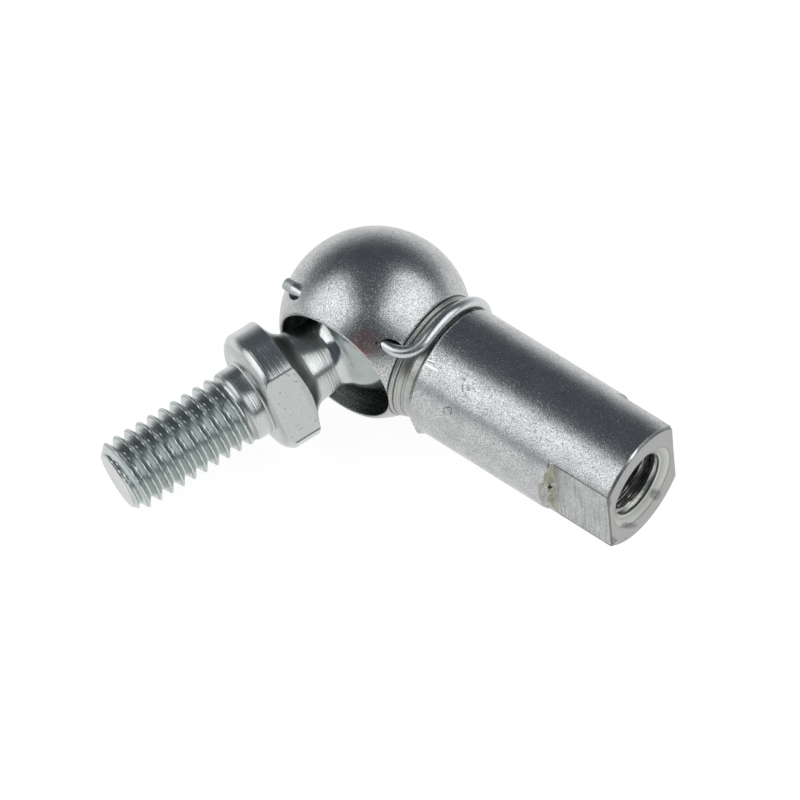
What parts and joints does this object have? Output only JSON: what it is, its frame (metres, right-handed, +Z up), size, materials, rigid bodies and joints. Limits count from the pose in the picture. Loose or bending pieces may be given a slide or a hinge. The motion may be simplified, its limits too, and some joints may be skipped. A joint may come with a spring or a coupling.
{
  "type": "angle ball joint",
  "caption": "Angle ball joint: tapped socket with a spherical head, threaded ball stud with a flatted collar, and a wire safety clip.",
  "frame": {"origin": "on the table, under the middle of the joint's box, as it lies at rest on its head, shank rim and stud tip", "axes": "+X from the stud's tip towards the shank's end, +Z up from the table"},
  "size_m": [0.0426, 0.0244, 0.0144],
  "materials": {
    "socket_zinc": "satin zinc plate",
    "stud_zinc": "bright zinc plate",
    "ring_steel": "spring steel",
    "clip_zinc": "bright zinc plate"
  },
  "bodies": {
    "socket": {"ball_socket": "socket_zinc"},
    "ring": {"snap_ring": "ring_steel"},
    "stud": {"ball_stud": "stud_zinc"},
    "clip": {"safety_clip": "clip_zinc"}
  },
  "joints": [
    {"name": "stud_turn", "type": "hinge", "parent": "socket", "child": "ring", "pos_m": [-0.00192, 0.00497, 0.0072], "axis": [-0.5413, -0.8254, -0.1603], "continuous": true},
    {"name": "stud_tilt", "type": "hinge", "parent": "ring", "child": "stud", "pos_m": [-0.00192, 0.00497, 0.0072], "axis": [-0.1978, -0.0602, 0.9784], "range_deg": [0, 39.6]},
    {"name": "clip_swing", "type": "hinge", "parent": "socket", "child": "clip", "pos_m": [-0.00379, 0.00141, 0.01101], "axis": [0.8407, -0.5346, -0.0859], "range_deg": [0, 100]}
  ]
}
